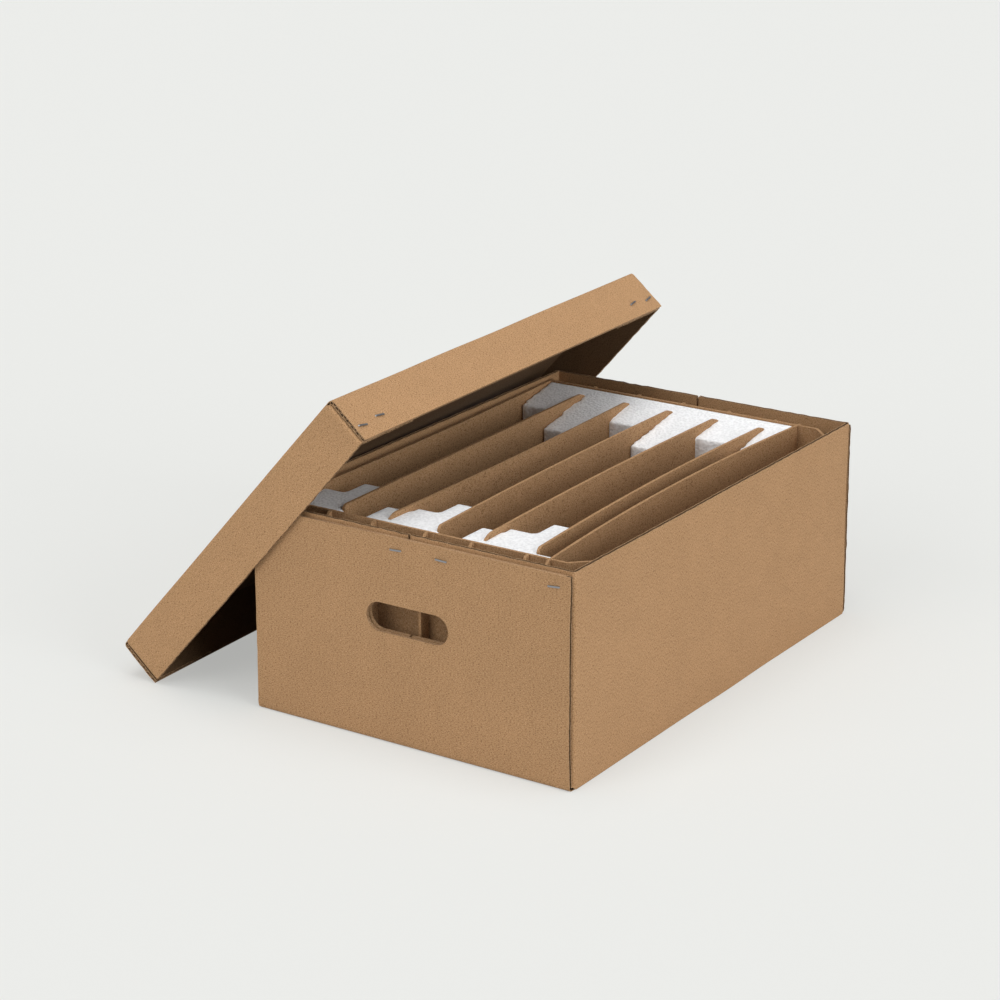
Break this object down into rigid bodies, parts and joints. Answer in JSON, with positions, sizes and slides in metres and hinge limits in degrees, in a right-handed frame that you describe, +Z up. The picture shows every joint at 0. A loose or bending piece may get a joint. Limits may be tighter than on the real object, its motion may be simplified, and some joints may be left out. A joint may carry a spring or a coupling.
{
  "type": "bottle shipping box",
  "caption": "Open corrugated shipping box with a cross-lapped bottle partition, foam combs at both ends, hand holes, and its lid leaning on one side.",
  "frame": {"origin": "centre of the tray's bottom face, on the floor", "axes": "+X across the tray to the right, +Y along its length to the back, +Z up"},
  "size_m": [0.5524, 0.5951, 0.3384],
  "materials": {
    "tray_board": "kraft liner over flutes, matt, with faint flute lines",
    "lid_board": "kraft liner over flutes, matt",
    "partition_board": "thin kraft board, matt, with lighter cut edges",
    "foam": "white closed-cell polyethylene foam, matt",
    "staple_wire": "flattened galvanised wire"
  },
  "bodies": {
    "root": {"box_body": "tray_board", "lid": "lid_board", "end_panel_front": "partition_board", "end_panel_back": "partition_board", "foam_front": "foam", "foam_back": "foam", "body_staples_front": "staple_wire", "body_staples_back": "staple_wire", "lid_staples": "staple_wire", "divider_1": "partition_board", "divider_2": "partition_board", "divider_3": "partition_board", "divider_4": "partition_board", "divider_5": "partition_board", "divider_6": "partition_board", "divider_7": "partition_board"}
  },
  "joints": []
}
